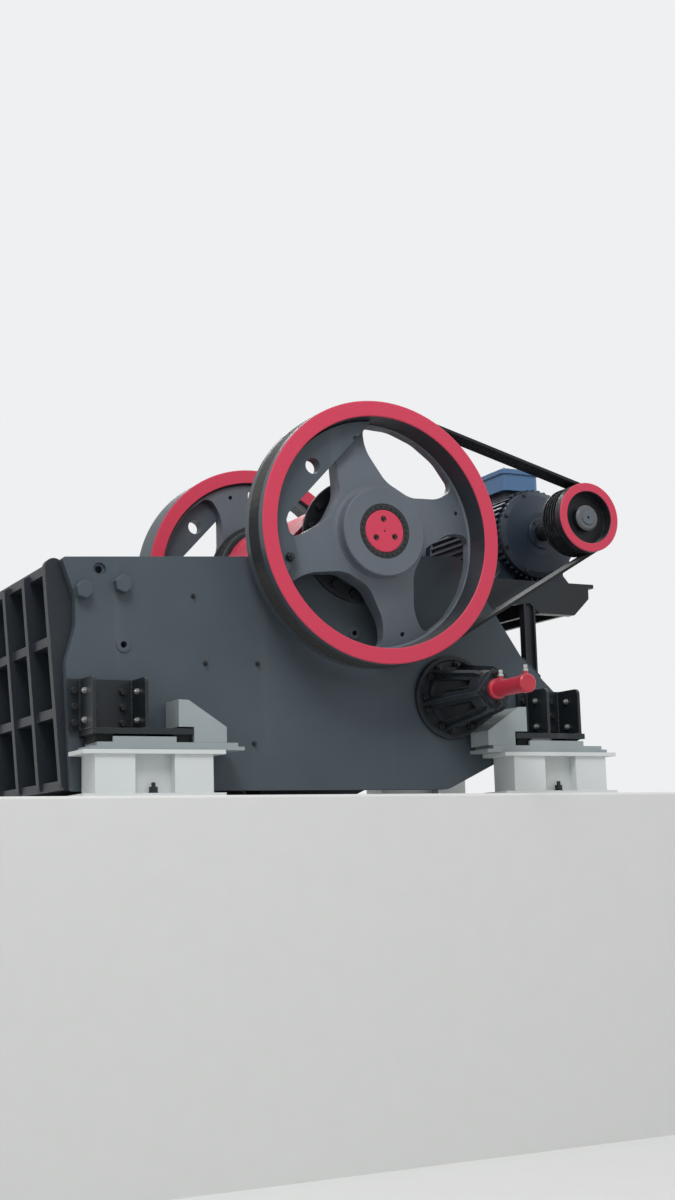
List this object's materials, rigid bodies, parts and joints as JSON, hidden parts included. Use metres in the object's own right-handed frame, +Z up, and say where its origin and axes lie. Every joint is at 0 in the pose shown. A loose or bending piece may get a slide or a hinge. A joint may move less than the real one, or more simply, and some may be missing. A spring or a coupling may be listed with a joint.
{
  "type": "single-toggle jaw crusher",
  "caption": "Jaw crusher with spoked flywheels, bolted side plates, moving jaw, belt-drive motor, hydraulic setting adjuster and floor pedestals.",
  "frame": {"origin": "on the floor, at the centre of the anchor bolt pattern of the pedestals", "axes": "+X from the feed side to the motor side, +Y across the machine away from the belts, +Z up"},
  "size_m": [3.1889, 2.6606, 1.9962],
  "materials": {
    "frame_paint": "satin",
    "cast_paint": "satin",
    "wheel_paint": "satin",
    "red_paint": "satin",
    "black_paint": "satin",
    "pale_paint": "satin",
    "plate_paint": "satin",
    "motor_paint": "satin",
    "box_paint": "satin",
    "manganese": "rough cast",
    "steel": "machined",
    "black_steel": "blackened",
    "rubber": "matt",
    "belt_rubber": "matt"
  },
  "bodies": {
    "frame": {"side_plate_near": "frame_paint", "side_plate_far": "frame_paint", "front_frame": "cast_paint", "rear_frame": "cast_paint", "cheek_plates": "manganese", "fixed_jaw_die": "manganese", "bearing_housing_near": "cast_paint", "bearing_housing_far": "cast_paint", "toggle_plate": "manganese", "toggle_block": "cast_paint", "tension_rods": "steel", "lantern_near": "black_paint", "lantern_far": "black_paint", "adjuster_ram_near": "red_paint", "adjuster_ram_far": "red_paint", "foot_front_near": "black_paint", "foot_front_far": "black_paint", "foot_rear_near": "black_paint", "foot_rear_far": "black_paint", "rubber_blocks": "rubber", "base_plates": "plate_paint", "hold_down_hooks": "plate_paint", "pedestal_front_near": "pale_paint", "pedestal_front_far": "pale_paint", "pedestal_rear_near": "pale_paint", "pedestal_rear_far": "pale_paint", "motor_bracket": "black_paint", "motor_rails": "black_paint", "motor_body": "motor_paint", "fan_cover": "motor_paint", "terminal_box": "box_paint", "drive_belts": "belt_rubber"},
    "rotor": {"eccentric_shaft": "red_paint", "flywheel_near": "wheel_paint", "flywheel_far": "wheel_paint", "lock_ring_near": "black_steel", "lock_ring_far": "black_steel", "counterweight_near": "frame_paint", "counterweight_far": "frame_paint"},
    "moving_jaw": {"pitman": "red_paint", "swing_jaw_die": "manganese"},
    "motor_rotor": {"motor_pulley": "cast_paint"}
  },
  "joints": [
    {"name": "shaft_spin", "type": "hinge", "parent": "frame", "child": "rotor", "pos_m": [0.08, 0, 1.32], "axis": [0, 1, 0], "continuous": true},
    {"name": "jaw_orbit", "type": "hinge", "parent": "rotor", "child": "moving_jaw", "pos_m": [0.09286, 0, 1.31227], "axis": [0, 1, 0], "continuous": true},
    {"name": "motor_spin", "type": "hinge", "parent": "frame", "child": "motor_rotor", "pos_m": [1.347, 0, 1.485], "axis": [0, 1, 0], "continuous": true}
  ],
  "couplings": [
    {"joint": "jaw_orbit", "follows": "shaft_spin", "ratio": -1},
    {"joint": "motor_spin", "follows": "shaft_spin", "ratio": 3.6575}
  ]
}
